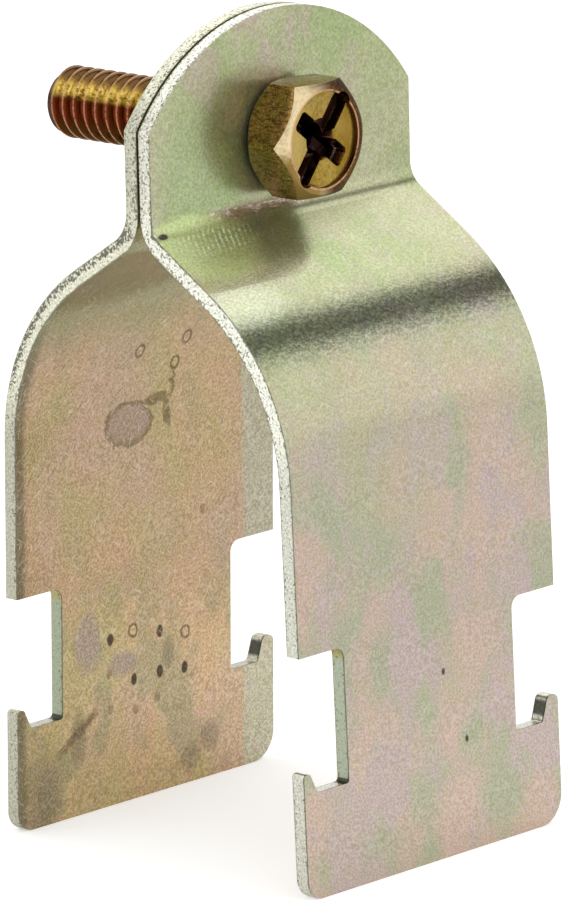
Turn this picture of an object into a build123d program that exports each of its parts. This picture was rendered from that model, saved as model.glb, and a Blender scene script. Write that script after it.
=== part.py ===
from build123d import *
from math import cos, radians, sin, sqrt, tan
import os

# Strut pipe clamp: two folded straps that hook under the lips of a strut channel
# and are drawn together over a tube by one screw and a square nut.
# X runs along the tube, Y along the screw from its head to its tip, Z up.
# The origin lies in the plane where the two ears meet, at the height of the tube's axis.

# Tube and strut
tube_diameter = 34.925
strut_lip_depth = 7.5

# Folded sheet
sheet_thickness = 1.52
strap_width = 31.75
ear_gap = 0.05
seat_offset = 2.46
shoulder_slope = 33.0
front_bend_radius = 2.4
rear_bend_radius = 3.2
leg_splay = 1.65

# Outline of the blank
ear_side_rise = 2.37
ear_crown_rise = 8.32
screw_hole_diameter = 7.15
neck_width = 20.9
notch_height = 11.55
foot_height = 9.0
near_hook_width = 1.55
near_hook_height = 1.75
near_tip_width = 0.7
near_tip_radius = 0.4
far_hook_width = 2.0
far_hook_height = 2.15
far_tip_width = 1.3
far_tip_radius = 0.6
notch_top_fillet = 1.0
notch_bottom_fillet = 0.35
near_foot_radius = 1.7
far_foot_radius = 2.6

# Sheared edges are rolled over on the side where the die first met the sheet.
rolled_edge = 0.32

# Screw, 1/4 in with 20 threads to the inch
screw_diameter = 6.2
screw_length = 25.1
tip_chamfer = 0.8
head_across_flats = 9.525
head_height = 4.83
crown_angle = 40.0
crown_flat = 9.2
head_base_diameter = 8.7
head_base_rise = 1.3
indent_diameter = 8.1
indent_depth = 0.45
slot_angle = 52.0
slot_length = 9.0
slot_width = 1.85
slot_depth = 1.5
cross_length = 6.8
cross_width = 2.0
cross_depth = 2.3
cross_taper = 12.0
pit_diameter = 4.0
pit_depth = 3.2
pit_taper = 24.0

# Square nut
nut_across_flats = 10.8
nut_thickness = 5.56
nut_running_clearance = 0.05
nut_below_bend = 1.01
nut_edge_break = 0.5
nut_crown_angle = 25.0
seating_clearance = 0.05

seat_radius = tube_diameter / 2
notch_bottom = -(seat_radius + strut_lip_depth)
notch_top = notch_bottom + notch_height
foot_bottom = notch_bottom - foot_height
half_width = strap_width / 2
ear_line = ear_gap / 2
ear_face = ear_line + sheet_thickness
strap_reach = seat_radius + 4 * sheet_thickness

# The shoulder leaves the tube's circle along a tangent, and the ear bends up from it.
slope = radians(shoulder_slope)
seat_start = (seat_radius * sin(slope) - seat_offset, seat_radius * cos(slope))
shoulder_height = seat_start[1] + (seat_start[0] - ear_line) * tan(slope)
bend_tangent = tan((radians(90) - slope) / 2)
rear_bend_start = shoulder_height + (rear_bend_radius + sheet_thickness) * bend_tangent

# The nut's lower flat reaches just below the start of the rear bend, which keeps it from turning.
screw_height = rear_bend_start - nut_below_bend + nut_across_flats / 2
ear_corner = screw_height + ear_side_rise
ear_top = ear_corner + ear_crown_rise

# The screw's axis, and planes square to it
screw_axis = Axis((0, 0, screw_height), (0, 1, 0))
ear_plane = Plane(origin=(0, 0, screw_height), x_dir=(1, 0, 0), z_dir=(0, -1, 0))

# Each strap is drawn as seen from the side, with the first axis pointing away from the ears' joint.
rear_side = Plane(origin=(0, 0, 0), x_dir=(0, 1, 0), z_dir=(1, 0, 0))
front_side = Plane(origin=(0, 0, 0), x_dir=(0, -1, 0), z_dir=(-1, 0, 0))


def strap_section(bend_radius):
    """Side section of a strap: ear, shoulder, tube seat and leg, one sheet thick."""
    with BuildSketch(mode=Mode.PRIVATE) as section:
        with BuildLine():
            FilletPolyline(
                (ear_line, ear_top + sheet_thickness),
                (ear_line, shoulder_height),
                seat_start,
                radius=bend_radius + sheet_thickness,
            )
            seat = CenterArc(
                (-seat_offset, 0),
                seat_radius,
                90 - shoulder_slope,
                leg_splay + shoulder_slope - 90,
            )
            leg_drop = (seat @ 1).Y - foot_bottom + sheet_thickness
            PolarLine(seat @ 1, leg_drop / cos(radians(leg_splay)), leg_splay - 90)
            offset(amount=sheet_thickness, side=Side.LEFT)
        make_face()
    return section.sketch


def notch(side, hook_width, hook_height, tip_width, tip_radius):
    """Notch for a strut lip above the hook that catches under it; side is -1 or 1."""
    neck = side * neck_width / 2
    edge = side * half_width
    outside = side * (half_width + sheet_thickness)
    hook_top = notch_bottom + hook_height
    with BuildSketch(mode=Mode.PRIVATE) as cut:
        with BuildLine():
            lip = FilletPolyline(
                (outside, notch_top),
                (neck, notch_top),
                (neck, notch_bottom),
                (edge - side * hook_width, notch_bottom),
                (edge - side * tip_width, hook_top),
                (edge, hook_top),
                (edge, hook_top - 2 * tip_radius),
                radius=[
                    notch_top_fillet,
                    notch_bottom_fillet,
                    notch_bottom_fillet,
                    tip_radius,
                    tip_radius,
                ],
            )
            Polyline(lip @ 1, (outside, (lip @ 1).Y), lip @ 0)
        make_face()
    return cut.sketch


def blank_outline():
    """Outline of a strap as seen along the screw, with its notches and hooks."""
    with BuildSketch(mode=Mode.PRIVATE) as outline:
        with BuildLine():
            FilletPolyline(
                (-half_width, ear_corner),
                (-half_width, foot_bottom),
                (half_width, foot_bottom),
                (half_width, ear_corner),
                radius=[near_foot_radius, far_foot_radius],
            )
            ThreePointArc((half_width, ear_corner), (0, ear_top), (-half_width, ear_corner))
        make_face()
        add(notch(-1, near_hook_width, near_hook_height, near_tip_width, near_tip_radius), mode=Mode.SUBTRACT)
        add(notch(1, far_hook_width, far_hook_height, far_tip_width, far_tip_radius), mode=Mode.SUBTRACT)
    return outline.sketch


def rim_of_face(strap, direction):
    """Edges that the side of the sheet looking in a direction shares with the sheared edges."""
    side_faces = strap.faces().filter_by(lambda face: face.normal_at().dot(direction) > 0.1)
    edges = [edge for face in side_faces for edge in face.edges()]
    return ShapeList(edge for edge in edges if edges.count(edge) == 1)


with BuildPart() as front_strap:
    with BuildSketch(front_side):
        add(strap_section(front_bend_radius))
    extrude(amount=half_width, both=True)
    with BuildSketch(Plane.XZ):
        add(blank_outline())
    extrude(amount=strap_reach, both=True, mode=Mode.INTERSECT)
    fillet(rim_of_face(front_strap.part, Vector(0, 1, 0)), rolled_edge)
    with BuildSketch(ear_plane):
        Circle(screw_hole_diameter / 2)
    extrude(amount=2 * ear_face, mode=Mode.SUBTRACT)
front_strap.part.label = "front_strap"

with BuildPart() as rear_strap:
    with BuildSketch(rear_side):
        add(strap_section(rear_bend_radius))
    extrude(amount=half_width, both=True)
    with BuildSketch(Plane.XZ):
        add(blank_outline())
    extrude(amount=strap_reach, both=True, mode=Mode.INTERSECT)
    fillet(rim_of_face(rear_strap.part, Vector(0, 1, 0)), rolled_edge)
    with BuildSketch(ear_plane):
        Circle(screw_hole_diameter / 2)
    extrude(amount=-2 * ear_face, mode=Mode.SUBTRACT)
rear_strap.part.label = "rear_strap"

# The head bears on the front ear, and its plane looks away from the clamp.
head_seat = ear_plane.offset(ear_face + seating_clearance)
head_top = head_seat.offset(head_height)
screw_side = Plane(origin=head_seat.origin, x_dir=(1, 0, 0), z_dir=(0, 0, -1))

with BuildPart() as clamp_screw:
    with BuildSketch(head_seat):
        RegularPolygon(head_across_flats / 2, 6, major_radius=False)
    extrude(amount=head_height)
    # The blank for the hexagon was round: a cone under the head and the crown on top trim its corners.
    corner = head_across_flats / sqrt(3)
    with BuildSketch(screw_side):
        with BuildLine():
            Polyline(
                (0, 0),
                (head_base_diameter / 2, 0),
                (corner, head_base_rise),
                (corner, head_height - (corner - crown_flat / 2) * tan(radians(crown_angle))),
                (crown_flat / 2, head_height),
                (0, head_height),
                close=True,
            )
        make_face()
    revolve(axis=screw_axis, mode=Mode.INTERSECT)
    with BuildSketch(head_seat):
        Circle(screw_diameter / 2)
    extrude(amount=-screw_length)
    tip = clamp_screw.edges().filter_by(GeomType.CIRCLE).sort_by(Axis.Y)[-1]
    chamfer(tip, tip_chamfer)
    with BuildSketch(head_top):
        Circle(indent_diameter / 2)
    extrude(amount=-indent_depth, mode=Mode.SUBTRACT)
    with BuildSketch(head_top):
        SlotOverall(slot_length, slot_width, rotation=slot_angle)
    extrude(amount=-slot_depth, mode=Mode.SUBTRACT)
    with BuildSketch(head_top):
        RectangleRounded(cross_length, cross_width, cross_width / 4, rotation=slot_angle + 90)
    extrude(amount=-cross_depth, taper=cross_taper, mode=Mode.SUBTRACT)
    with BuildSketch(head_top):
        Circle(pit_diameter / 2)
    extrude(amount=-pit_depth, taper=pit_taper, mode=Mode.SUBTRACT)
clamp_screw.part.label = "clamp_screw"

nut_seat = Plane(origin=(0, ear_face + seating_clearance, screw_height), x_dir=(1, 0, 0), z_dir=(0, 1, 0))
nut_side = Plane(origin=nut_seat.origin, x_dir=(1, 0, 0), z_dir=(0, 0, 1))

with BuildPart() as square_nut:
    with BuildSketch(nut_seat):
        Rectangle(nut_across_flats, nut_across_flats)
    extrude(amount=nut_thickness)
    nut_corner = nut_across_flats / sqrt(2)
    nut_flat = nut_across_flats / 2
    with BuildSketch(nut_side):
        with BuildLine():
            Polyline(
                (0, 0),
                (nut_corner, 0),
                (nut_corner, nut_thickness - (nut_corner - nut_flat) * tan(radians(nut_crown_angle))),
                (nut_flat, nut_thickness),
                (0, nut_thickness),
                close=True,
            )
        make_face()
    revolve(axis=screw_axis, mode=Mode.INTERSECT)
    bearing_edges = square_nut.edges().group_by(Axis.Y)[0]
    chamfer(bearing_edges, nut_edge_break)
    with BuildSketch(nut_seat):
        Circle(screw_diameter / 2 + nut_running_clearance)
    extrude(amount=nut_thickness, mode=Mode.SUBTRACT)
square_nut.part.label = "square_nut"

os.makedirs("parts", exist_ok=True)
export_step(front_strap.part, "parts/front_strap.step")
export_step(rear_strap.part, "parts/rear_strap.step")
export_step(clamp_screw.part, "parts/clamp_screw.step")
export_step(square_nut.part, "parts/square_nut.step")
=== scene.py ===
import math

import bmesh
import bpy
from mathutils import Matrix, Vector


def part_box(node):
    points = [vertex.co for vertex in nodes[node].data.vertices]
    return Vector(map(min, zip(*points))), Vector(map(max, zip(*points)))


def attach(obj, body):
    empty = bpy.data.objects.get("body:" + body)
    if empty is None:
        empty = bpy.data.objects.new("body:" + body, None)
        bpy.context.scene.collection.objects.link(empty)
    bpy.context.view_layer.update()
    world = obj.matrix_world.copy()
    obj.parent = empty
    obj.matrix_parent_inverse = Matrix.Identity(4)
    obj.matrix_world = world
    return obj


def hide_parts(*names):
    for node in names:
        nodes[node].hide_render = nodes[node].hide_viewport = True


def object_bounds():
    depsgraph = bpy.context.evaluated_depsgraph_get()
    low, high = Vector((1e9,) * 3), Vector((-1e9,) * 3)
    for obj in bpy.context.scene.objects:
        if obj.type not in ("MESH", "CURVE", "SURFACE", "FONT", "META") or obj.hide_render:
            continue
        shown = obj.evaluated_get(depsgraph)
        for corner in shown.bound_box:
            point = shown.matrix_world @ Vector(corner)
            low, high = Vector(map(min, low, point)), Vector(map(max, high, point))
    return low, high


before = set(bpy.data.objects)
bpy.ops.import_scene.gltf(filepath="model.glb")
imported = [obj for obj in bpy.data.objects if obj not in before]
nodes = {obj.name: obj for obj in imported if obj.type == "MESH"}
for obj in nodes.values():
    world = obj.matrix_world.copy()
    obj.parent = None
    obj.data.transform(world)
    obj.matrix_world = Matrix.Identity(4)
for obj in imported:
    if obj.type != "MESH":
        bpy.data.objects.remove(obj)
cad_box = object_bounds()

# Sizes and places, in metres, in the frame's own axes
MM = 0.001
FLOOR_HEIGHT = cad_box[0][2]
FLOOR_REACH = 0.6
SCREW_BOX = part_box("clamp_screw")
SCREW_HEIGHT = (SCREW_BOX[0].z + SCREW_BOX[1].z) / 2
SCREW_TIP = SCREW_BOX[1].y
THREAD_START = 0.4 * MM
THREAD_RADIUS = 3.1 * MM
THREAD_PITCH = 1.27 * MM
THREAD_DEPTH = 0.68 * MM
TIP_CHAMFER = 0.8 * MM
HEAD_EDGE_ROUNDING = 0.11 * MM
INDENT_RADIUS = 4.05 * MM
RECESS_RADIUS = 4.60 * MM
RECESS_START = SCREW_BOX[0].y + 0.6 * MM
SLOT_FLOOR = SCREW_BOX[0].y + 1.5 * MM

# Steps round the thread, and its rows of points as shares of the pitch
THREAD_STEPS = 72
THREAD_ROWS = (0.0, 0.12, 0.24, 0.36, 0.42, 0.48, 0.60, 0.72, 0.84, 0.92)

# Lamps and dark flags of the studio: azimuth from +X towards +Y, elevation, inner and outer reach
# in degrees, and change of level
STUDIO_PATCHES = (
    (25.0, 55.0, 24.0, 33.0, 0.60),
    (-38.0, 20.0, 10.0, 18.0, 0.25),
    (-85.0, 22.0, 12.0, 22.0, 0.30),
    (8.0, 2.0, 12.0, 24.0, -0.60),
    (-128.0, 30.0, 14.0, 26.0, -0.40),
)

# Dark gap between the lamps: the azimuth and elevation of its two sides, its soft border as distances
# from its middle, and its soft ends as cosines of the angle from its middle
STUDIO_GAP = ((-14.8, 40.8), (-29.6, 33.0))
GAP_BORDER = (0.088, 0.112)
GAP_ENDS = (0.72, 0.86)
DARKEST_LEVEL = 0.02

# Floor: its corners as shares of its reach, its colour, and how much it glows to the camera and in
# polished surfaces
FLOOR_CORNERS = ((-1, -1), (1, -1), (1, 1), (-1, 1))
FLOOR_GREY = (0.86, 0.86, 0.86)
FLOOR_GLOW = 0.42
FLOOR_MIRRORED = 0.16

# Camera: place in millimetres, yaw, pitch and roll in degrees, sensor and lens in millimetres
CAMERA_PLACE = Vector((-499.459, -467.509, 158.538))
CAMERA_ANGLES = (46.937, -13.1406, -1.3349)
SENSOR_HEIGHT = 36.0
FOCAL_LENGTH = 333.94

# The straps' section and its heights, for marks that follow the sheet, and the pitch of its scores
SHEET = 1.52 * MM
SEAT_RADIUS = 17.4625 * MM
SEAT_OFFSET = 2.46 * MM
SHOULDER_SLOPE = math.radians(33.0)
LEG_SPLAY = math.radians(1.65)
BEND_HEIGHT = 20.5 * MM
EAR_HEIGHT = 25.0 * MM
ARCH_HEIGHT = 12.0 * MM
SHOULDER_HEIGHT = 13.0 * MM
SCORE_PITCH = 0.60 * MM

# Marks on the plate, in millimetres: place across and up the strap, and their two half-sizes
OUTER_PITS = ((1.6, -18.0, 0.20, 0.30), (4.2, -24.3, 0.20, 0.30))
INNER_SPOTS = (
    (-4.6, -19.2, 0.38, 0.56),
    (1.5, -19.6, 0.38, 0.56),
    (-1.7, -23.3, 0.38, 0.56),
    (1.5, -23.2, 0.38, 0.56),
    (4.6, -23.5, 0.38, 0.56),
)
INNER_FAINT_SPOTS = (
    (-4.8, -22.2, 0.36, 0.46),
    (-4.6, -25.4, 0.36, 0.46),
    (-1.5, -26.0, 0.36, 0.46),
    (6.9, -9.8, 0.36, 0.46),
    (1.2, -25.4, 0.36, 0.46),
)
INNER_CLOUDS = ((-7.4, -19.0, 1.6, 2.6), (-3.2, -21.6, 1.7, 1.1))
INNER_SMEARS = (
    (-13.2, -31.4, 2.2, 4.0),
    (-8.6, -27.2, 0.9, 2.4),
    (5.4, -31.8, 1.1, 1.2),
    (7.6, -30.3, 1.2, 1.3),
    (2.6, -21.8, 0.7, 1.4),
)
BLOTCH = ((-2.3, -0.6, 3.10, 2.05),)
BLOTCH_CORE = ((-2.3, -0.6, 2.60, 1.62),)
BLOTCH_TAIL = ((1.4, 1.1, 1.5, 0.5), (2.5, -0.2, 0.45, 1.5), (3.1, 2.3, 0.22, 1.4))
# Painted shade on the sheared edges: the dark core in the hooks' slit and the notches' bottom corners
EDGE_SHADOWS = ((14.3, -23.9, 0.42, 0.75), (-10.7, -24.85, 0.55, 0.22))
EDGE_STAIN = ((-10.9, -13.8, 0.9, 0.8),)
GREEN_PATCH = ((-10.0, 24.5, 5.0, 4.5),)
SCORED_PATCH = ((-10.3, 19.0, 4.8, 0.8),)
# Painted light: a lighter, greener patch where the head's reflection falls on the shoulder, also made
# rougher
REFLECTION_LIGHTENED_PATCH = ((-11.8, 18.7, 5.6, 2.3),)
# Painted highlight on the shoulder's left, above the band
SHOULDER_HIGHLIGHT_PATCH = ((-14.0, 14.7, 5.0, 1.5),)
# A dark spot at the bend's left end
BEND_END_SPOT = ((-15.1, 19.9, 0.55, 0.22),)

# Places of the stained rings across and up the strap, and their half-sizes, in millimetres
INNER_RINGS = ((-1.6, 5.8), (4.1, 6.1), (3.2, 3.9), (-1.8, -18.9), (4.7, -20.3))
RING_OUTSIDE = (0.60, 0.66)
RING_INSIDE = (0.38, 0.42)

# Angle in degrees and seed of the short scratches on the plate
PALE_SCRATCHES = ((38.0, 3.1), (-34.0, 7.7), (82.0, 5.3))
DARK_SCRATCHES = (52.0, 9.4)

# Colours of the plate on the side away from the tube
LEG_CREAM = (0.425, 0.430, 0.300)
LEG_PINK = (0.575, 0.440, 0.355)
LEG_MAUVE = (0.520, 0.425, 0.385)
EAR_YELLOW = (0.480, 0.485, 0.290)
EAR_GREEN = (0.370, 0.440, 0.215)
EAR_BROWN = (0.490, 0.410, 0.330)
EAR_DEEP_GREEN = (0.340, 0.470, 0.215)
# Painted shade along the crease of the bend below the head, and painted glints on it
BEND_CREASE_SHADE = (0.330, 0.235, 0.190)
BEND_PAINTED_GLINT = (0.90, 0.78, 0.72)
# Lighter, greener plate painted where the head's reflection falls
REFLECTION_LIGHTENED_PLATE = (0.640, 0.780, 0.340)
# Painted highlight on the shoulder's left
SHOULDER_PAINTED_HIGHLIGHT = (0.600, 0.625, 0.440)
SCORED_PLATE = (0.84, 0.88, 0.62)
# Dark spot at the bend's left end
BEND_END_DARK = (0.08, 0.08, 0.06)
PORES_DARK = (0.58, 0.63, 0.67)
PORES_PALE = (1.11, 1.13, 1.18)

# Colours of the plate on the side that faces the tube
INNER_OCHRE = (0.470, 0.375, 0.185)
INNER_ORANGE = (0.545, 0.370, 0.215)
INNER_PINK = (0.520, 0.365, 0.255)
INNER_DULL = (0.310, 0.290, 0.165)
INNER_OLIVE = (0.270, 0.260, 0.100)
FAR_STRIP = (0.460, 0.450, 0.335)
# Painted shade on the inner side beside the near edge
NEAR_EDGE_SHADE = (0.185, 0.155, 0.090)
CLOUD = (0.370, 0.290, 0.280)
SMEAR = (0.225, 0.195, 0.125)
BLOTCH_DARK = (0.150, 0.100, 0.038)
BLOTCH_PINK = (0.420, 0.305, 0.225)
SPOT_FAINT = (0.210, 0.130, 0.050)
SPOT_DARK = (0.045, 0.028, 0.012)
RING = (0.150, 0.090, 0.035)
STROKE = (0.170, 0.105, 0.050)

# Grain and scratches on both sides of the plate
SPECKLE_DARK = (0.84, 0.82, 0.76)
SPECKLE_PALE = (1.16, 1.18, 1.24)
TINT_YELLOW = (0.985, 1.02, 0.93)
TINT_PINK = (1.015, 0.98, 1.07)
SCRATCH_PALE = (0.80, 0.77, 0.62)
SCRATCH_DARK = (0.20, 0.14, 0.07)

# Colours of the bare sheared edges
ZINC_DARK = (0.52, 0.525, 0.42)
ZINC_PALE = (0.90, 0.895, 0.79)
ZINC_YELLOWER = (1.0, 0.97, 0.85)
NOTCH_WALL = (0.33, 0.40, 0.26)
WALL_STAIN = (0.46, 0.39, 0.13)
CRISP_LINE = (0.13, 0.13, 0.08)
FLECK = (0.13, 0.125, 0.085)
SHOULDER_FLECK = (0.055, 0.055, 0.045)
# Near black, for the painted shade on the sheared edges and for the pits on the front strap
SHADE_AND_PIT_BLACK = (0.03, 0.03, 0.02)

# Colours of the nut and the screw's shank
NUT_BROWN = (0.20, 0.10, 0.030)
NUT_GOLD = (0.42, 0.27, 0.090)
# Shank colours set by the side of the thread: the golden upper side and the red and olive lower side are
# painted light and shade, and the gleam and the crest are painted highlights
SHANK_OLIVE = (0.150, 0.068, 0.020)
SHANK_SHADED_RED = (0.155, 0.026, 0.008)
SHANK_LIT_GOLD = (0.33, 0.180, 0.042)
SHANK_BROWN = (0.20, 0.105, 0.038)
SHANK_GLEAM = (0.88, 0.62, 0.130)
SHANK_DARK = (0.07, 0.030, 0.012)
CREST_HIGHLIGHT = (0.66, 0.33, 0.19)
TIP = (0.085, 0.056, 0.034)

# Colours of the screw's head
# Flats tinted by height on the head, as painted light
FLAT_LOW = (0.290, 0.195, 0.055)
FLAT_HIGH = (0.390, 0.225, 0.062)
FLAT_DARK = (0.095, 0.050, 0.012)
FLAT_GLITTER = (0.780, 0.610, 0.270)
PAD_DARK = (0.270, 0.175, 0.022)
PAD_GOLD = (0.420, 0.290, 0.066)
PAD_ORANGE = (0.255, 0.140, 0.020)
# Painted light on the pads' near side
PAD_NEAR_LIGHT = (0.560, 0.400, 0.120)
# Painted highlight on the crown's near side, painted dark reflection on its far side, painted shade low on
# its near side
CROWN_PAINTED_HIGHLIGHT = (0.880, 0.720, 0.430)
CROWN_PAINTED_DARK = (0.070, 0.028, 0.009)
CROWN_LOWER_SHADE = (0.300, 0.190, 0.055)
CROWN_STREAK = (0.300, 0.170, 0.060)
INDENT_SHADE = (0.085, 0.040, 0.012)
# Painted shade on the indent's wall, and a painted highlight on its rim
INDENT_WALL_SHADE = (0.110, 0.045, 0.016)
INDENT_RIM_HIGHLIGHT = (0.640, 0.370, 0.190)
# Painted shade in the recess, darker with depth
RECESS_SHADE_OPEN = (0.120, 0.055, 0.025)
RECESS_SHADE_DEEP = (0.018, 0.007, 0.006)
RECESS_STREAK = (0.150, 0.075, 0.080)
RECESS_GLINT = (0.80, 0.66, 0.68)


def new_material(name):
    """A material with an empty node tree, its shader and its output."""
    material = bpy.data.materials.new(name)
    material.use_nodes = True
    tree = material.node_tree
    tree.nodes.clear()
    shader = tree.nodes.new("ShaderNodeBsdfPrincipled")
    output = tree.nodes.new("ShaderNodeOutputMaterial")
    tree.links.new(shader.outputs["BSDF"], output.inputs["Surface"])
    return material, tree, shader


def put(tree, value, socket):
    """Links an output to a socket, or sets the socket to a plain value."""
    if isinstance(value, bpy.types.NodeSocket):
        tree.links.new(value, socket)
    else:
        socket.default_value = value


def math_node(tree, operation, a, b=0.0, c=0.0, clamp=False):
    node = tree.nodes.new("ShaderNodeMath")
    node.operation = operation
    node.use_clamp = clamp
    for value, socket in zip((a, b, c), node.inputs):
        put(tree, value, socket)
    return node.outputs[0]


def add(tree, a, b, clamp=False):
    return math_node(tree, "ADD", a, b, clamp=clamp)


def subtract(tree, a, b, clamp=False):
    return math_node(tree, "SUBTRACT", a, b, clamp=clamp)


def multiply(tree, a, b):
    return math_node(tree, "MULTIPLY", a, b)


def multiply_add(tree, a, b, c):
    """First value times the second, plus the third."""
    return math_node(tree, "MULTIPLY_ADD", a, b, c)


def apart(tree, a, b):
    """Distance between two values."""
    return math_node(tree, "ABSOLUTE", subtract(tree, a, b))


def dot_product(tree, a, b):
    node = tree.nodes.new("ShaderNodeVectorMath")
    node.operation = "DOT_PRODUCT"
    put(tree, a, node.inputs[0])
    put(tree, b, node.inputs[1])
    return node.outputs["Value"]


def ramp(tree, value, low, high, to_low=0.0, to_high=1.0):
    """Value taken smoothly from the range low to high onto another range, and held at its ends."""
    node = tree.nodes.new("ShaderNodeMapRange")
    node.interpolation_type = "SMOOTHSTEP"
    for socket, number in zip(node.inputs, (value, low, high, to_low, to_high)):
        put(tree, number, socket)
    return node.outputs["Result"]


def mix_colour(tree, factor, a, b, blend="MIX"):
    node = tree.nodes.new("ShaderNodeMix")
    node.data_type = "RGBA"
    node.blend_type = blend
    put(tree, factor, node.inputs["Factor"])
    put(tree, a if isinstance(a, bpy.types.NodeSocket) else (*a, 1.0), node.inputs[6])
    put(tree, b if isinstance(b, bpy.types.NodeSocket) else (*b, 1.0), node.inputs[7])
    return node.outputs[2]


def grey(tree, level):
    node = tree.nodes.new("ShaderNodeCombineColor")
    for socket in node.inputs:
        put(tree, level, socket)
    return node.outputs["Color"]


def tinted(tree, colour, tint):
    """One colour multiplied by another."""
    return mix_colour(tree, 1.0, colour, tint, blend="MULTIPLY")


def lifted(tree, colour, level):
    """A colour multiplied by a level."""
    return tinted(tree, colour, grey(tree, level))


def noise(tree, place, scale, detail=3.0, roughness=0.5, offset=(0.0, 0.0, 0.0), stretch=(1.0, 1.0, 1.0)):
    """Noise of about 0 to 1 around 0.5, with scale in cells per metre."""
    mapping = tree.nodes.new("ShaderNodeMapping")
    mapping.inputs["Location"].default_value = offset
    mapping.inputs["Scale"].default_value = stretch
    tree.links.new(place, mapping.inputs["Vector"])
    node = tree.nodes.new("ShaderNodeTexNoise")
    node.inputs["Scale"].default_value = scale
    node.inputs["Detail"].default_value = detail
    node.inputs["Roughness"].default_value = roughness
    tree.links.new(mapping.outputs["Vector"], node.inputs["Vector"])
    return node.outputs["Fac"]


def coordinates(tree):
    """Place in the frame and normal, both in the piece's own axes."""
    node = tree.nodes.new("ShaderNodeTexCoord")
    return node.outputs["Object"], node.outputs["Normal"]


def axes_of(tree, vector):
    node = tree.nodes.new("ShaderNodeSeparateXYZ")
    tree.links.new(vector, node.inputs["Vector"])
    return node.outputs["X"], node.outputs["Y"], node.outputs["Z"]


def bump(tree, height, distance, strength, normal=None):
    node = tree.nodes.new("ShaderNodeBump")
    node.inputs["Strength"].default_value = strength
    node.inputs["Distance"].default_value = distance
    tree.links.new(height, node.inputs["Height"])
    if normal is not None:
        tree.links.new(normal, node.inputs["Normal"])
    return node.outputs["Normal"]


def length_of(tree, a, b):
    """Length of a vector with two parts square to each other."""
    return math_node(tree, "SQRT", multiply_add(tree, a, a, multiply(tree, b, b)))


def soft_mark(tree, place, across, up, half_width, half_height, softness):
    """Share of one soft round mark, with its place and half-sizes in millimetres."""
    width, height = half_width * MM, half_height * MM
    aside = multiply_add(tree, place[0], 1 / width, -across * MM / width)
    above = multiply_add(tree, place[1], 1 / height, -up * MM / height)
    square = multiply_add(tree, aside, aside, multiply(tree, above, above))
    return ramp(tree, square, 1.0 + softness, max(0.0, 1.0 - softness))


def largest(tree, shares):
    total = shares[0]
    for share in shares[1:]:
        total = math_node(tree, "MAXIMUM", total, share)
    return total


def marks(tree, place, sizes, softness=0.5):
    """Share of the strongest of several soft marks."""
    return largest(tree, [soft_mark(tree, place, *size, softness) for size in sizes])


def depth_in_sheet(tree, y, z):
    """Depth of a point of the strap, measured outwards from the side that faces the tube."""
    aside = math_node(tree, "ABSOLUTE", y)
    out = add(tree, aside, SEAT_OFFSET)
    angle = math_node(tree, "ARCTAN2", z, out)
    past_leg = math_node(tree, "MAXIMUM", angle, LEG_SPLAY)
    nearest = math_node(tree, "MINIMUM", past_leg, math.pi / 2 - SHOULDER_SLOPE)
    turned = math_node(tree, "COSINE", subtract(tree, angle, nearest))
    from_seat = multiply_add(tree, length_of(tree, out, z), turned, -SEAT_RADIUS)
    return math_node(tree, "MINIMUM", from_seat, aside)


def outer_plate(tree, place, x, z, drift, patch):
    """Iridescent plate on the side away from the tube: green at the ear, pink and cream on the leg."""
    height = ramp(tree, z, -10.0 * MM, 24.0 * MM)
    ear_share = add(tree, height, multiply_add(tree, drift, 1.2, -0.66), clamp=True)
    leg = mix_colour(tree, ramp(tree, patch, 0.40, 0.60), LEG_CREAM, LEG_PINK)
    veil = noise(tree, place, 260.0, 2.0, 0.5, offset=(5.3, 1.9, 8.2), stretch=(1.0, 1.0, 0.6))
    leg = mix_colour(tree, ramp(tree, veil, 0.46, 0.66), leg, LEG_MAUVE)
    ear = mix_colour(tree, ramp(tree, patch, 0.36, 0.64), EAR_YELLOW, EAR_GREEN)
    rim = ramp(tree, z, 25.0 * MM, 35.0 * MM, 0.25, 0.75)
    ear = mix_colour(tree, multiply(tree, ramp(tree, veil, 0.52, 0.68), rim), ear, EAR_BROWN)
    plate = mix_colour(tree, ear_share, leg, ear)
    green = marks(tree, (x, z), GREEN_PATCH, 0.8)
    plate = mix_colour(tree, multiply(tree, green, 0.45), plate, EAR_DEEP_GREEN)
    return lifted(tree, plate, ramp(tree, z, -12.0 * MM, -32.0 * MM, 1.0, 1.14))


def inner_plate(tree, place, x, z, drift, patch):
    """Browner, stained plate on the side that faces the tube, with painted shade in a strip beside its near
    edge.
    """
    plate = mix_colour(tree, ramp(tree, patch, 0.36, 0.64), INNER_OCHRE, INNER_ORANGE)
    plate = mix_colour(tree, ramp(tree, drift, 0.46, 0.66, 0.0, 0.8), plate, INNER_PINK)
    veil = noise(tree, place, 230.0, 2.0, 0.5, offset=(3.7, 6.1, 2.4), stretch=(1.0, 1.0, 0.7))
    low = ramp(tree, z, -12.0 * MM, -22.0 * MM)
    dull = multiply(tree, ramp(tree, veil, 0.52, 0.64), multiply_add(tree, low, 0.40, 0.22))
    plate = mix_colour(tree, dull, plate, INNER_DULL)
    wavering = multiply_add(tree, veil, 1.2 * MM, x)
    plate = mix_colour(tree, ramp(tree, wavering, 12.35 * MM, 12.90 * MM, 0.0, 0.8), plate, FAR_STRIP)
    # painted shade in a strip beside the near edge
    plate = mix_colour(tree, ramp(tree, wavering, -13.8 * MM, -14.8 * MM, 0.0, 0.85), plate, NEAR_EDGE_SHADE)
    plate = lifted(tree, plate, ramp(tree, z, -12.0 * MM, -26.0 * MM, 1.0, 1.32))
    return mix_colour(tree, ramp(tree, z, 6.0 * MM, 12.5 * MM, 0.0, 0.85), plate, INNER_OLIVE)


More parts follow.
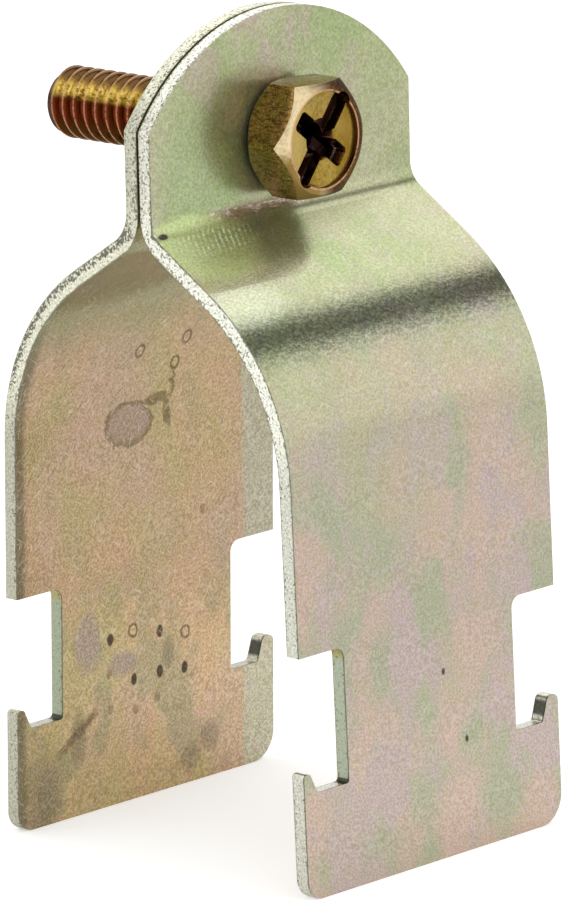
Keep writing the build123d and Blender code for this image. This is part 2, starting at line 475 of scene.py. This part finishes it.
def ragged_place(tree, place, waver, across, up):
    """Place on the strap pushed about by a noise, with its reach across and up."""
    return multiply_add(tree, waver, across, place[0]), multiply_add(tree, waver, up, place[1])


def short_stroke(tree, x, z, waver):
    """Share of one short slanting stroke near the strap's left side."""
    slant = multiply_add(tree, x, 0.62, multiply(tree, z, -1.0))
    along = ramp(tree, apart(tree, x, -8.6 * MM), 3.2 * MM, 1.6 * MM)
    aside = add(tree, subtract(tree, slant, 21.3 * MM), waver)
    line = ramp(tree, math_node(tree, "ABSOLUTE", aside), 0.7 * MM, 0.1 * MM)
    return multiply(tree, along, line)


def inner_stains(tree, x, z, plate, waver):
    """Spots, rings and short stains on the side that faces the tube."""
    place = (add(tree, x, waver), subtract(tree, z, waver))
    nudged = ragged_place(tree, (x, z), waver, 0.35, -0.35)
    ragged = ragged_place(tree, place, waver, 1.1, 2.1)
    clouds = marks(tree, place, INNER_CLOUDS, 0.7)
    plate = mix_colour(tree, multiply(tree, clouds, 0.6), plate, CLOUD)
    smears = marks(tree, place, INNER_SMEARS, 0.9)
    plate = mix_colour(tree, multiply(tree, smears, 0.55), plate, SMEAR)
    tail = marks(tree, ragged, BLOTCH_TAIL)
    outline = largest(tree, [marks(tree, ragged, BLOTCH, 0.12), tail])
    plate = mix_colour(tree, multiply(tree, outline, 0.70), plate, BLOTCH_DARK)
    core = marks(tree, ragged, BLOTCH_CORE, 0.35)
    plate = mix_colour(tree, multiply(tree, core, 0.85), plate, BLOTCH_PINK)
    faint = marks(tree, nudged, INNER_FAINT_SPOTS, 0.4)
    plate = mix_colour(tree, multiply(tree, faint, 0.5), plate, SPOT_FAINT)
    rings = []
    for across, up in INNER_RINGS:
        outside = soft_mark(tree, nudged, across, up, *RING_OUTSIDE, 0.3)
        inside = soft_mark(tree, nudged, across, up, *RING_INSIDE, 0.3)
        rings.append(subtract(tree, outside, inside))
    plate = mix_colour(tree, multiply(tree, largest(tree, rings), 0.85), plate, RING)
    plate = mix_colour(tree, multiply(tree, short_stroke(tree, x, z, waver), 0.7), plate, STROKE)
    spots = marks(tree, nudged, INNER_SPOTS, 0.30)
    return mix_colour(tree, multiply(tree, spots, 0.9), plate, SPOT_DARK)


def edge_highlight_level(tree, y, z):
    """Change of an edge's level, with painted highlights that make it brighter at the arch, the crown and
    the ear, and how much the rear one is darker.
    """
    rear = ramp(tree, y, -1.0 * MM, 1.0 * MM, 0.0, 0.25)
    arch = ramp(tree, apart(tree, z, ARCH_HEIGHT), 12.0 * MM, 5.0 * MM, 0.0, 0.40)
    crown = ramp(tree, z, 29.0 * MM, 32.0 * MM, 0.0, 0.50)
    ear = ramp(tree, apart(tree, z, EAR_HEIGHT), 6.0 * MM, 3.0 * MM, 0.0, 0.10)
    return add(tree, add(tree, arch, crown), subtract(tree, ear, rear)), rear


def notch_walls(tree, x, z, edge):
    """Greener walls of the notches, with one yellow stain at a corner."""
    walls = ramp(tree, math_node(tree, "ABSOLUTE", x), 11.4 * MM, 10.9 * MM, 0.0, 0.7)
    below = ramp(tree, z, -12.0 * MM, -13.0 * MM)
    edge = mix_colour(tree, multiply(tree, walls, below), edge, NOTCH_WALL)
    stain = marks(tree, (x, z), EDGE_STAIN, 0.7)
    return mix_colour(tree, multiply(tree, stain, 0.8), edge, WALL_STAIN)


def edge_flecks(tree, place, z, front, seam, depth, edge):
    """Dark flecks along an edge's borders, and on the outer half of the rear strap's shoulder."""
    speck = noise(tree, place, 4200.0, 3.0, 0.65, offset=(0.9, 0.2, 0.4))
    upper = ramp(tree, z, -2.0 * MM, 10.0 * MM, 0.0, 0.05)
    from_middle = apart(tree, depth, SHEET / 2 + 0.12 * MM)
    busy = multiply_add(tree, ramp(tree, from_middle, 0.30 * MM, 0.62 * MM), 0.07, upper)
    shoulder = ramp(tree, apart(tree, z, SHOULDER_HEIGHT), 9.0 * MM, 6.0 * MM)
    rear_shoulder = multiply(tree, shoulder, subtract(tree, 1.0, front))
    outwards = multiply_add(tree, seam, 0.5 * MM, depth)
    outer_half = ramp(tree, outwards, 0.78 * MM, 1.20 * MM, 0.0, 0.18)
    busy = multiply_add(tree, subtract(tree, outer_half, busy), rear_shoulder, busy)
    share = ramp(tree, add(tree, speck, busy), 0.60, 0.67, 0.0, 0.84)
    return mix_colour(tree, share, edge, mix_colour(tree, rear_shoulder, FLECK, SHOULDER_FLECK))


def sheared_edge(tree, place, x, y, z, front):
    """Bare grey zinc on the sheared edges, dark where they meet the sheet's crisp side, with painted
    highlights by place and painted shade in the hooks and at the notches' bottom corners.
    """
    grain = noise(tree, place, 4600.0, 3.0, 0.6)
    edge = mix_colour(tree, ramp(tree, grain, 0.28, 0.72), ZINC_DARK, ZINC_PALE)
    level, rear = edge_highlight_level(tree, y, z)
    # painted highlights on the edges at the arch, the crown and the ear, and darker rear edges
    edge = lifted(tree, edge, add(tree, level, 1.0))
    edge = mix_colour(tree, multiply(tree, rear, 2.4), edge, tinted(tree, edge, ZINC_YELLOWER))
    edge = notch_walls(tree, x, z, edge)

    seam = noise(tree, place, 700.0, 3.0, 0.6)
    depth = depth_in_sheet(tree, y, z)
    from_crisp = math_node(tree, "ABSOLUTE", multiply_add(tree, front, -SHEET, depth))
    crisp = ramp(tree, multiply_add(tree, seam, -0.25 * MM, from_crisp), 0.08 * MM, -0.06 * MM)
    crisp = multiply(tree, crisp, ramp(tree, z, 20.0 * MM, 29.0 * MM, 0.85, 0.30))
    edge = mix_colour(tree, crisp, edge, CRISP_LINE)
    edge = edge_flecks(tree, place, z, front, seam, depth, edge)
    # painted shade in the hooks' slit and at the notches' bottom corners
    shadows = marks(tree, (x, z), EDGE_SHADOWS)
    return mix_colour(tree, multiply(tree, shadows, 0.9), edge, SHADE_AND_PIT_BLACK), grain


def bend_marks(tree, place, x, z, plate):
    """Painted shade and painted glints along the bend below the head, a lighter patch painted where the
    head's reflection falls, a painted highlight on the shoulder, scores and a dark spot, with the lightened
    and scored shares.
    """
    streak = noise(tree, place, 2600.0, 3.0, 0.7, offset=(1.7, 0.0, 3.1), stretch=(0.4, 1.0, 1.5))
    line = ramp(tree, apart(tree, z, BEND_HEIGHT), 0.75 * MM, 0.25 * MM)
    along = ramp(tree, apart(tree, x, -3.5 * MM), 8.5 * MM, 5.0 * MM)
    crease_shade = multiply(tree, line, along)
    # painted shade along the bend's crease, and painted glints on it
    plate = mix_colour(tree, multiply(tree, crease_shade, 0.7), plate, BEND_CREASE_SHADE)
    painted_glint = multiply(tree, crease_shade, ramp(tree, streak, 0.52, 0.62))
    plate = mix_colour(tree, multiply(tree, painted_glint, 0.75), plate, BEND_PAINTED_GLINT)

    slant = add(tree, multiply_add(tree, streak, 0.35 * MM, x), multiply(tree, z, -0.9))
    wave = math_node(tree, "SINE", multiply(tree, slant, 2 * math.pi / SCORE_PITCH))
    scored = multiply(tree, ramp(tree, wave, -0.1, 0.8), marks(tree, (x, z), SCORED_PATCH, 0.8))
    scored = multiply(tree, scored, ramp(tree, streak, 0.40, 0.60, 0.0, 0.62))
    # a lighter, greener plate painted where the head's reflection falls, to lighten that reflection
    painted_light_share = marks(tree, (x, z), REFLECTION_LIGHTENED_PATCH, 0.6)
    plate = mix_colour(tree, multiply(tree, painted_light_share, 0.72), plate, REFLECTION_LIGHTENED_PLATE)
    # painted highlight on the shoulder's left
    shoulder_highlight = marks(tree, (x, z), SHOULDER_HIGHLIGHT_PATCH, 0.8)
    plate = mix_colour(tree, multiply(tree, shoulder_highlight, 0.70), plate, SHOULDER_PAINTED_HIGHLIGHT)
    plate = mix_colour(tree, scored, plate, SCORED_PLATE)
    # a dark spot at the bend's left end
    return mix_colour(tree, marks(tree, (x, z), BEND_END_SPOT), plate, BEND_END_DARK), painted_light_share, scored


def scratches(tree, x, z, angle, seed):
    """Share of short straight scratches that run at one angle across the strap."""
    turn = math.radians(angle)
    run = add(tree, multiply(tree, x, math.cos(turn)), multiply(tree, z, math.sin(turn)))
    side = subtract(tree, multiply(tree, z, math.cos(turn)), multiply(tree, x, math.sin(turn)))
    place = tree.nodes.new("ShaderNodeCombineXYZ")
    put(tree, multiply(tree, run, 1 / (1.6 * MM)), place.inputs["X"])
    put(tree, multiply(tree, side, 1 / (0.14 * MM)), place.inputs["Y"])
    streaks = noise(tree, place.outputs["Vector"], 1.0, 1.0, 0.4, offset=(seed, 2 * seed, 3 * seed))
    return ramp(tree, streaks, 0.66, 0.74)


def front_marks(tree, place, x, z, front, clean):
    """Marks that only the front strap has: pits, those by the bend and the grain of the shoulder's band."""
    pits = marks(tree, (x, z), OUTER_PITS, 0.6)
    marked = mix_colour(tree, multiply(tree, pits, 0.9), clean, SHADE_AND_PIT_BLACK)
    marked, painted_light_share, scored = bend_marks(tree, place, x, z, marked)
    plate = mix_colour(tree, front, clean, marked)
    band = multiply(tree, ramp(tree, apart(tree, z, ARCH_HEIGHT), 2.8 * MM, 0.8 * MM), front)
    pores = noise(tree, place, 3300.0, 3.0, 0.7, offset=(8.1, 2.2, 6.6), stretch=(0.7, 1.0, 1.0))
    pores = mix_colour(tree, ramp(tree, pores, 0.38, 0.60), PORES_DARK, PORES_PALE)
    return mix_colour(tree, band, plate, tinted(tree, plate, pores)), painted_light_share, scored


def plate_grain(tree, place, x, z, inner, speckle, plate):
    """Speckle, a drift between yellow and pink, pale scratches, and dark ones on the inner side only."""
    specks = mix_colour(tree, ramp(tree, speckle, 0.30, 0.70), SPECKLE_DARK, SPECKLE_PALE)
    plate = tinted(tree, plate, specks)
    tint = noise(tree, place, 2300.0, 2.0, 0.6, offset=(4.0, 7.0, 9.0))
    tints = mix_colour(tree, ramp(tree, tint, 0.34, 0.66), TINT_YELLOW, TINT_PINK)
    plate = tinted(tree, plate, tints)
    pale = largest(tree, [scratches(tree, x, z, angle, seed) for angle, seed in PALE_SCRATCHES])
    pale = multiply(tree, pale, multiply_add(tree, inner, 0.14, 0.24))
    plate = mix_colour(tree, pale, plate, SCRATCH_PALE)
    dark = multiply(tree, scratches(tree, x, z, *DARK_SCRATCHES), inner)
    return mix_colour(tree, multiply(tree, dark, 0.50), plate, SCRATCH_DARK)


def zinc_sheet():
    """Yellow zinc plate on both sides of the sheet, bare grey zinc on its sheared edges."""
    material, tree, shader = new_material("yellow_zinc")
    place, normal = coordinates(tree)
    x, y, z = axes_of(tree, place)
    outward = axes_of(tree, normal)[1]
    sheared = ramp(tree, math_node(tree, "ABSOLUTE", outward), 0.45, 0.2)
    inner = math_node(tree, "LESS_THAN", multiply(tree, outward, y), 0.0)
    front = math_node(tree, "LESS_THAN", y, 0.0)

    drift = noise(tree, place, 95.0, 2.0, 0.5, offset=(0.3, 0.1, 0.7), stretch=(1.0, 1.0, 0.7))
    patch = noise(tree, place, 170.0, 3.0, 0.5, offset=(2.1, 4.4, 1.3), stretch=(1.0, 1.0, 0.6))
    outer_face = outer_plate(tree, place, x, z, drift, patch)
    outer_face, painted_light_share, scored = front_marks(tree, place, x, z, front, outer_face)
    inner_face = inner_plate(tree, place, x, z, drift, patch)
    waver = multiply_add(tree, noise(tree, place, 1100.0, 2.0, 0.6), 0.9 * MM, -0.45 * MM)
    inner_face = mix_colour(tree, front, inner_stains(tree, x, z, inner_face, waver), inner_face)
    speckle = noise(tree, place, 4800.0, 2.0, 0.6)
    inner_face = lifted(tree, inner_face, ramp(tree, speckle, 0.3, 0.7, 0.91, 1.09))
    plate = mix_colour(tree, inner, outer_face, inner_face)
    plate = plate_grain(tree, place, x, z, inner, speckle, plate)
    edge, grain = sheared_edge(tree, place, x, y, z, front)
    tree.links.new(mix_colour(tree, sheared, plate, edge), shader.inputs["Base Color"])

    front_outer = subtract(tree, front, math_node(tree, "MAXIMUM", inner, sheared), clamp=True)
    polish = ramp(tree, drift, 0.3, 0.7, 0.0, 0.03)
    rough = add(tree, polish, ramp(tree, z, 15.5 * MM, 18.5 * MM, 0.165, 0.26))
    # rougher where the plate is painted lighter under the head's reflection
    rough = multiply_add(tree, multiply(tree, painted_light_share, front_outer), 0.11, rough)
    tree.links.new(multiply_add(tree, sheared, 0.07, rough), shader.inputs["Roughness"])
    metallic = multiply_add(tree, multiply(tree, scored, front_outer), -0.75, 0.8)
    tree.links.new(metallic, shader.inputs["Metallic"])
    fine = bump(tree, speckle, 0.032 * MM, 0.24)
    tree.links.new(bump(tree, grain, 0.012 * MM, 0.3, normal=fine), shader.inputs["Normal"])
    return material


def metal_grain(tree, place):
    """Cloudy, fine and streaked noise shared by the bronze-coloured pieces."""
    cloud = noise(tree, place, 420.0, 3.0, 0.6)
    fine = noise(tree, place, 3600.0, 3.0, 0.65, stretch=(1.0, 0.35, 1.0))
    return cloud, fine, multiply_add(tree, fine, 0.6, multiply(tree, cloud, 0.4))


def finish_metal(tree, shader, colour, cloud, fine, satin=0.0):
    """Sets a metal's shader. Satin adds to its roughness."""
    tree.links.new(colour, shader.inputs["Base Color"])
    polish = ramp(tree, cloud, 0.3, 0.7, 0.15, 0.24)
    tree.links.new(add(tree, polish, satin), shader.inputs["Roughness"])
    shader.inputs["Metallic"].default_value = 1.0
    tree.links.new(bump(tree, fine, 0.01 * MM, 0.3), shader.inputs["Normal"])


def nut_bronze():
    """Dark golden zinc plate on the nut."""
    material, tree, shader = new_material("bronze_nut")
    cloud, fine, streaks = metal_grain(tree, coordinates(tree)[0])
    colour = mix_colour(tree, ramp(tree, streaks, 0.38, 0.66), NUT_BROWN, NUT_GOLD)
    finish_metal(tree, shader, colour, cloud, fine)
    return material


def shank_colour(tree, y, radius, tilt, streaks):
    """Red-brown thread painted lit on its upper side and shaded below: a golden band above and red beneath,
    a painted gleam along the ridge, painted pinkish highlights on the crests and a duller tip.
    """
    # colours follow the side of the thread as painted light and shade, and noise breaks up the painted
    # highlights
    painted_light_share = ramp(tree, streaks, 0.36, 0.56)
    low = mix_colour(tree, ramp(tree, tilt, -0.95, -0.15), SHANK_OLIVE, SHANK_SHADED_RED)
    golden = ramp(tree, multiply_add(tree, streaks, 0.30, tilt), 0.38, 0.76)
    colour = mix_colour(tree, golden, low, SHANK_LIT_GOLD)
    colour = mix_colour(tree, ramp(tree, tilt, 0.74, 0.94), colour, SHANK_BROWN)
    ridge = ramp(tree, apart(tree, tilt, 0.56), 0.30, 0.04)
    colour = mix_colour(tree, multiply(tree, ridge, painted_light_share), colour, SHANK_GLEAM)
    colour = mix_colour(tree, ramp(tree, streaks, 0.53, 0.38, 0.0, 0.36), colour, SHANK_DARK)
    crest = ramp(tree, radius, THREAD_RADIUS - 0.03 * MM, THREAD_RADIUS, 0.0, 0.58)
    colour = mix_colour(tree, multiply(tree, crest, painted_light_share), colour, CREST_HIGHLIGHT)
    at_tip = ramp(tree, y, SCREW_TIP - 1.5 * MM, SCREW_TIP - 0.7 * MM, 0.0, 0.85)
    return mix_colour(tree, at_tip, colour, TIP)


def flats_colour(tree, up, fine, glitter):
    """Brown flats, the lower and upper ones tinted apart as painted light, with dark patches and golden
    glitter.
    """
    # lower and upper flats tinted apart: painted light
    flats = mix_colour(tree, ramp(tree, up, -1.2 * MM, 0.6 * MM), FLAT_LOW, FLAT_HIGH)
    flats = mix_colour(tree, ramp(tree, fine, 0.60, 0.38, 0.0, 0.85), flats, FLAT_DARK)
    return mix_colour(tree, ramp(tree, glitter, 0.57, 0.65, 0.0, 0.70), flats, FLAT_GLITTER)


def pads_colour(tree, x, streaks):
    """Golden pads between the recess and the indent's wall, made paler on the near side by painted light.
    """
    pads = mix_colour(tree, ramp(tree, streaks, 0.40, 0.62), PAD_DARK, PAD_GOLD)
    pads = mix_colour(tree, ramp(tree, x, 1.0 * MM, 3.4 * MM, 0.0, 0.6), pads, PAD_ORANGE)
    # painted light: paler pads on the near side
    return mix_colour(tree, ramp(tree, x, -1.4 * MM, -3.0 * MM, 0.0, 0.6), pads, PAD_NEAR_LIGHT)


def crown_colour(tree, x, up, streaks):
    """Crown with a painted highlight on the near side, a painted dark brown reflection on the far side and
    painted shade low on the near side.
    """
    # painted highlight on the near side and painted dark reflection on the far side
    crown = mix_colour(tree, ramp(tree, x, -2.4 * MM, 1.2 * MM), CROWN_PAINTED_HIGHLIGHT, CROWN_PAINTED_DARK)
    # painted shade on the lower crown of the near side
    low = ramp(tree, multiply_add(tree, streaks, 1.6 * MM, up), 0.8 * MM, -0.7 * MM)
    crown = mix_colour(tree, multiply(tree, low, ramp(tree, x, 0.0, -1.0 * MM)), crown, CROWN_LOWER_SHADE)
    return mix_colour(tree, ramp(tree, streaks, 0.56, 0.40, 0.0, 0.3), crown, CROWN_STREAK)


def indent_colour(tree, x, radius, ahead, streaks, colour):
    """Painted shade under the indent's wall, painted shade on the wall itself and a painted highlight on
    the rim around it.
    """
    inside = ramp(tree, radius, INDENT_RADIUS + 0.05 * MM, INDENT_RADIUS - 0.05 * MM)
    colour = mix_colour(tree, inside, colour, pads_colour(tree, x, streaks))
    shade = ramp(tree, radius, INDENT_RADIUS - 0.32 * MM, INDENT_RADIUS - 0.18 * MM)
    shade = multiply(tree, multiply(tree, shade, inside), ramp(tree, x, 0.5 * MM, -1.5 * MM, 0.0, 0.85))
    colour = mix_colour(tree, shade, colour, INDENT_SHADE)
    # painted shade on the indent's wall
    wall_shade = ramp(tree, apart(tree, radius, INDENT_RADIUS), 0.07 * MM, 0.03 * MM)
    wall_shade = multiply(tree, wall_shade, ramp(tree, ahead, -0.7, -0.4, 0.0, 0.9))
    colour = mix_colour(tree, wall_shade, colour, INDENT_WALL_SHADE)
    # painted highlight on the rim, broken up by noise
    rim = ramp(tree, apart(tree, radius, INDENT_RADIUS + 0.10 * MM), 0.11 * MM, 0.05 * MM)
    rim = multiply(tree, rim, ramp(tree, streaks, 0.38, 0.52, 0.0, 0.8))
    return mix_colour(tree, rim, colour, INDENT_RIM_HIGHLIGHT)


def recess_colour(tree, y, radius, ahead, streaks):
    """Recess painted nearly black as shade, darker with depth, with a painted glint along the slot's floor.
    """
    # painted shade, darker deeper in the recess
    shade = ramp(tree, y, RECESS_START, RECESS_START + 1.3 * MM)
    recess = mix_colour(tree, shade, RECESS_SHADE_OPEN, RECESS_SHADE_DEEP)
    recess = mix_colour(tree, ramp(tree, streaks, 0.56, 0.66, 0.0, 0.6), recess, RECESS_STREAK)
    floor_line = ramp(tree, apart(tree, y, SLOT_FLOOR), 0.16 * MM, 0.07 * MM)
    beyond_cross = ramp(tree, radius, 2.3 * MM, 2.7 * MM)
    along = multiply(tree, beyond_cross, ramp(tree, radius, 4.0 * MM, 3.5 * MM))
    painted_glint = multiply(tree, multiply(tree, floor_line, along), ramp(tree, ahead, -0.8, -0.5))
    return mix_colour(tree, painted_glint, recess, RECESS_GLINT)


def head_colour(tree, x, y, up, radius, ahead, fine, streaks, glitter):
    """The screw's head: flats, crown, indent with its pads, and recess."""
    flats = flats_colour(tree, up, fine, glitter)
    crown = crown_colour(tree, x, up, streaks)
    colour = mix_colour(tree, ramp(tree, ahead, -0.30, -0.55), flats, crown)
    colour = indent_colour(tree, x, radius, ahead, streaks, colour)
    within = ramp(tree, radius, RECESS_RADIUS, RECESS_RADIUS - 0.08 * MM)
    deep = ramp(tree, y, RECESS_START, RECESS_START + 0.15 * MM)
    recess = recess_colour(tree, y, radius, ahead, streaks)
    return mix_colour(tree, multiply(tree, within, deep), colour, recess)


def screw_bronze():
    """Golden brown zinc plate on the clamp screw."""
    material, tree, shader = new_material("bronze_screw")
    place, normal = coordinates(tree)
    x, y, z = axes_of(tree, place)
    up = subtract(tree, z, SCREW_HEIGHT)
    radius = length_of(tree, x, up)
    tilt = math_node(tree, "DIVIDE", up, math_node(tree, "MAXIMUM", radius, 0.1 * MM))
    ahead = axes_of(tree, normal)[1]
    cloud, fine, streaks = metal_grain(tree, place)
    glitter = noise(tree, place, 7400.0, 2.0, 0.6, offset=(2.2, 5.1, 0.6))
    head = head_colour(tree, x, y, up, radius, ahead, fine, streaks, glitter)
    shank = shank_colour(tree, y, radius, tilt, streaks)
    colour = mix_colour(tree, ramp(tree, y, -0.5 * MM, 0.5 * MM), head, shank)
    crown = multiply(tree, ramp(tree, ahead, -0.45, -0.60), ramp(tree, ahead, -0.97, -0.88))
    satin = multiply(tree, crown, ramp(tree, y, 0.5 * MM, -0.5 * MM, 0.0, 0.20))
    finish_metal(tree, shader, colour, cloud, fine, satin)
    return material


def assign(piece, material):
    """Gives a piece one material through its object's own slots."""
    if not piece.data.materials:
        piece.data.materials.append(None)
    for place in piece.material_slots:
        place.link = "OBJECT"
        place.material = material


def thread_radius(share):
    """Radius of a 60 degree thread with narrow flat crests and roots, at a share of its pitch."""
    flat_crest = 0.12
    flat_root = 0.16
    run = (1 - flat_crest - flat_root) / 2
    if share < run:
        depth = 1 - share / run
    elif share < run + flat_crest:
        depth = 0.0
    elif share < 2 * run + flat_crest:
        depth = (share - run - flat_crest) / run
    else:
        depth = 1.0
    return THREAD_RADIUS - THREAD_DEPTH * depth


def thread_row(mesh, turns, thread):
    """One turn of the helix, with the thread's radius at its share of the pitch, chamfered at the tip."""
    row = []
    for step in range(THREAD_STEPS + 1):
        angle = 2 * math.pi * step / THREAD_STEPS
        y = THREAD_START + (turns + step / THREAD_STEPS) * THREAD_PITCH
        radius = min(thread, THREAD_RADIUS - TIP_CHAMFER + max(0.0, SCREW_TIP - y))
        place = (radius * math.sin(angle), y, SCREW_HEIGHT + radius * math.cos(angle))
        row.append(mesh.verts.new(place))
    return row


def cut_square(mesh, height, way):
    """Cuts a bmesh off square to the screw's axis at a height along it, and closes the cut."""
    found = bmesh.ops.bisect_plane(
        mesh,
        geom=list(mesh.verts) + list(mesh.edges) + list(mesh.faces),
        plane_co=(0, height, 0),
        plane_no=(0, way, 0),
        clear_outer=True,
    )
    rim = [edge for edge in found["geom_cut"] if isinstance(edge, bmesh.types.BMEdge)]
    bmesh.ops.edgeloop_fill(mesh, edges=rim)


def threaded_shank():
    """Mesh of the shank with a real helical thread, cut square at both ends."""
    mesh = bmesh.new()
    turns = math.ceil((SCREW_TIP - THREAD_START) / THREAD_PITCH) + 2
    rows = []
    for turn in range(-1, turns):
        for share in THREAD_ROWS:
            rows.append(thread_row(mesh, turn + share, thread_radius(share)))
    for low, high in zip(rows, rows[1:]):
        for corners in zip(low, low[1:], high[1:], high):
            mesh.faces.new(corners)
    bmesh.ops.remove_doubles(mesh, verts=mesh.verts, dist=0.002 * MM)
    cut_square(mesh, THREAD_START, -1)
    cut_square(mesh, SCREW_TIP, 1)
    shank = bpy.data.meshes.new("shank")
    mesh.to_mesh(shank)
    mesh.free()
    return shank


def head_mesh():
    """Mesh of the frame's own screw, cut off just behind its head."""
    head = bmesh.new()
    head.from_mesh(nodes["clamp_screw"].data)
    bmesh.ops.remove_doubles(head, verts=head.verts, dist=0.0005 * MM)
    cut_square(head, THREAD_START + 0.1 * MM, 1)
    bmesh.ops.dissolve_limit(head, angle_limit=math.radians(1.0), verts=head.verts, edges=head.edges)
    mesh = bpy.data.meshes.new("clamp_screw_dressed")
    head.to_mesh(mesh)
    head.free()
    return mesh


def softened(piece):
    """Mesh of a piece with its sharp edges rounded a little."""
    soften = piece.modifiers.new("edges", "BEVEL")
    soften.width = HEAD_EDGE_ROUNDING
    soften.segments = 2
    soften.limit_method = "ANGLE"
    soften.angle_limit = math.radians(24)
    soften.use_clamp_overlap = True
    bpy.context.view_layer.update()
    evaluated = piece.evaluated_get(bpy.context.evaluated_depsgraph_get())
    rounded = bpy.data.meshes.new_from_object(evaluated)
    piece.modifiers.clear()
    return rounded


def screw_piece():
    """The clamp screw: the frame's head with softened edges, and a shank with a real helical thread."""
    shank = threaded_shank()
    whole = head_mesh()
    piece = bpy.data.objects.new("threaded_clamp_screw", whole)
    bpy.context.scene.collection.objects.link(piece)
    rounded = softened(piece)
    joined = bmesh.new()
    joined.from_mesh(rounded)
    joined.from_mesh(shank)
    bmesh.ops.recalc_face_normals(joined, faces=joined.faces)
    joined.to_mesh(whole)
    joined.free()
    for face in whole.polygons:
        face.use_smooth = True
    whole.set_sharp_from_angle(angle=math.radians(32))
    return piece


def stage_floor():
    """Pale floor that takes the clamp's soft shadow and shows white to the camera."""
    mesh = bpy.data.meshes.new("floor")
    corners = [(across * FLOOR_REACH, along * FLOOR_REACH, FLOOR_HEIGHT) for across, along in FLOOR_CORNERS]
    mesh.from_pydata(corners, [], [(0, 1, 2, 3)])
    floor = bpy.data.objects.new("floor", mesh)
    bpy.context.scene.collection.objects.link(floor)
    material = bpy.data.materials.new("pale_floor")
    material.use_nodes = True
    tree = material.node_tree
    tree.nodes.clear()
    output = tree.nodes.new("ShaderNodeOutputMaterial")
    diffuse = tree.nodes.new("ShaderNodeBsdfDiffuse")
    diffuse.inputs["Color"].default_value = (*FLOOR_GREY, 1.0)
    emission = tree.nodes.new("ShaderNodeEmission")
    emission.inputs["Color"].default_value = (1.0, 1.0, 1.0, 1.0)
    rays = tree.nodes.new("ShaderNodeLightPath")
    seen = math_node(tree, "MAXIMUM", rays.outputs["Is Camera Ray"], rays.outputs["Is Transmission Ray"])
    mirrored = multiply(tree, rays.outputs["Is Glossy Ray"], FLOOR_MIRRORED)
    strength = multiply_add(tree, seen, FLOOR_GLOW, mirrored)
    tree.links.new(strength, emission.inputs["Strength"])
    both = tree.nodes.new("ShaderNodeAddShader")
    tree.links.new(diffuse.outputs[0], both.inputs[0])
    tree.links.new(emission.outputs[0], both.inputs[1])
    tree.links.new(both.outputs[0], output.inputs["Surface"])
    mesh.materials.append(material)


def direction(azimuth, elevation):
    """Unit vector at an azimuth from +X towards +Y and an elevation, in degrees."""
    a, e = math.radians(azimuth), math.radians(elevation)
    return Vector((math.cos(a) * math.cos(e), math.sin(a) * math.cos(e), math.sin(e)))


def studio_patch(tree, way, azimuth, elevation, inner, outer, change):
    """Change of level in a round patch of the studio, with its inner and outer reach in degrees."""
    near = dot_product(tree, way, direction(azimuth, elevation))
    return ramp(tree, near, math.cos(math.radians(outer)), math.cos(math.radians(inner)), 0.0, change)


def studio_gap(tree, way):
    """Share of the dark gap, a short band between two directions."""
    before, after = (direction(*side) for side in STUDIO_GAP)
    gap_normal = (after - before).normalized()
    gap_middle = (after + before).normalized()
    aside = apart(tree, dot_product(tree, way, gap_normal), gap_normal.dot(gap_middle))
    near = dot_product(tree, way, gap_middle)
    return multiply(tree, ramp(tree, aside, *GAP_BORDER, 1.0, 0.0), ramp(tree, near, *GAP_ENDS))


def studio_world():
    """Even white light all round. Polished surfaces also see the studio's lamps and dark gaps."""
    world = bpy.data.worlds.new("studio")
    world.use_nodes = True
    bpy.context.scene.world = world
    tree = world.node_tree
    tree.nodes.clear()
    output = tree.nodes.new("ShaderNodeOutputWorld")
    light = tree.nodes.new("ShaderNodeBackground")
    rays = tree.nodes.new("ShaderNodeLightPath")
    way = tree.nodes.new("ShaderNodeTexCoord").outputs["Generated"]

    level = subtract(tree, 1.0, studio_gap(tree, way))
    for patch in STUDIO_PATCHES:
        level = add(tree, level, studio_patch(tree, way, *patch))
    extra = subtract(tree, math_node(tree, "MAXIMUM", level, DARKEST_LEVEL), 1.0)
    strength = multiply_add(tree, rays.outputs["Is Glossy Ray"], extra, 1.0)
    tree.links.new(strength, light.inputs["Strength"])
    light.inputs["Color"].default_value = (1.0, 1.0, 1.0, 1.0)
    tree.links.new(light.outputs[0], output.inputs["Surface"])


def camera():
    """Camera at the photograph's place and angle, from a fit of the clamp's own edges and thread."""
    yaw, pitch, roll = (math.radians(angle) for angle in CAMERA_ANGLES)
    ahead = Vector((math.sin(yaw) * math.cos(pitch), math.cos(yaw) * math.cos(pitch), math.sin(pitch)))
    level_right = Vector((math.cos(yaw), -math.sin(yaw), 0.0))
    level_up = level_right.cross(ahead)
    right = level_right * math.cos(roll) + level_up * math.sin(roll)
    up = level_up * math.cos(roll) - level_right * math.sin(roll)
    lens = bpy.data.cameras.new("camera")
    lens.sensor_fit = "VERTICAL"
    lens.sensor_height = SENSOR_HEIGHT
    lens.lens = FOCAL_LENGTH
    eye = bpy.data.objects.new("camera", lens)
    turn = Matrix((right, up, -ahead)).transposed()
    eye.matrix_world = Matrix.Translation(CAMERA_PLACE * MM) @ turn.to_4x4()
    bpy.context.scene.collection.objects.link(eye)
    bpy.context.scene.camera = eye


sheet = zinc_sheet()
assign(nodes["front_strap"], sheet)
assign(nodes["rear_strap"], sheet)
assign(nodes["square_nut"], nut_bronze())

screw = screw_piece()
assign(screw, screw_bronze())
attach(screw, "screw")
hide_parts("clamp_screw")

stage_floor()
studio_world()
camera()
bpy.context.scene.view_settings.view_transform = "Standard"
